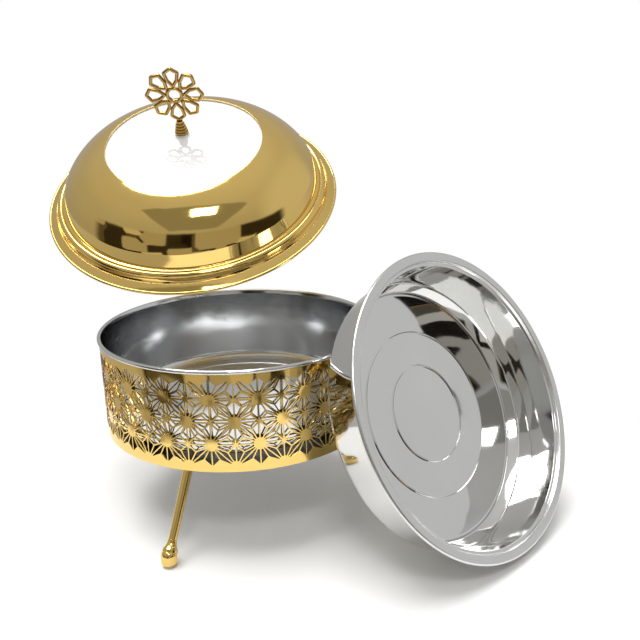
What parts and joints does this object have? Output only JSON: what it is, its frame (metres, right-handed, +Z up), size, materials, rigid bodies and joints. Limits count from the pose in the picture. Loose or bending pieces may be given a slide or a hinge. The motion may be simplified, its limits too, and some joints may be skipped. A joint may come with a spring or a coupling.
{
  "type": "chafing dish food warmer",
  "caption": "Round chafing dish: footed gold base with a star-pierced band over a steel water pan, domed lid with a window and flower knob, and a lift-out food pan.",
  "frame": {"origin": "on the table, under the middle of the box round the whole arrangement", "axes": "+Z up, +X to the right as seen from the front, +Y away from the viewer; the base's own axis is vertical at x -0.0745, y 0.0158"},
  "size_m": [0.562, 0.4263, 0.4705],
  "materials": {
    "gold_spun": "mirror-polished gold plate on spun sheet steel",
    "gold_band": "mirror-polished gold plate on cut sheet",
    "gold_cast": "bright gold plate on castings",
    "gold_rod": "bright gold plate on turned rod",
    "steel_pan": "bright spun stainless steel, satin on the flange",
    "steel_well": "bright spun stainless steel",
    "steel_plain": "plain stainless steel",
    "opal_glass": "white opal toughened glass",
    "silicone": "translucent white silicone"
  },
  "bodies": {
    "base": {"water_pan": "steel_well", "pierced_band": "gold_band", "base_ring": "steel_plain", "leg_socket_front": "gold_cast", "leg_socket_right": "gold_cast", "leg_socket_rear": "gold_cast", "socket_bolts": "steel_plain", "socket_washers": "steel_plain", "leg_front": "gold_rod", "leg_right": "gold_rod", "leg_rear": "gold_rod", "foot_front": "gold_cast", "foot_right": "gold_cast", "foot_rear": "gold_cast", "foot_pads": "silicone"},
    "lid": {"lid_shell": "gold_spun", "lid_glass": "opal_glass", "glass_gasket": "silicone", "glass_clamp_ring": "steel_plain", "knob_washer_top": "silicone", "knob_washer_bottom": "silicone", "knob_cup_washer": "steel_plain", "knob_screw": "steel_plain"},
    "knob": {"knob_flower": "gold_cast", "knob_ferrule": "gold_cast"},
    "pan": {"food_pan": "steel_pan"}
  },
  "joints": [
    {"name": "lid_lift", "type": "slide", "parent": "base", "child": "lid", "axis": [0, 0, 1], "range_m": [0, 0.15]},
    {"name": "pan_lift", "type": "slide", "parent": "base", "child": "pan", "axis": [0, 0, 1], "range_m": [0, 0.2]},
    {"name": "knob_turn", "type": "hinge", "parent": "lid", "child": "knob", "pos_m": [-0.12425, 0.03518, 0.40483], "axis": [-0.027, -0.4978, 0.8669], "continuous": true}
  ]
}
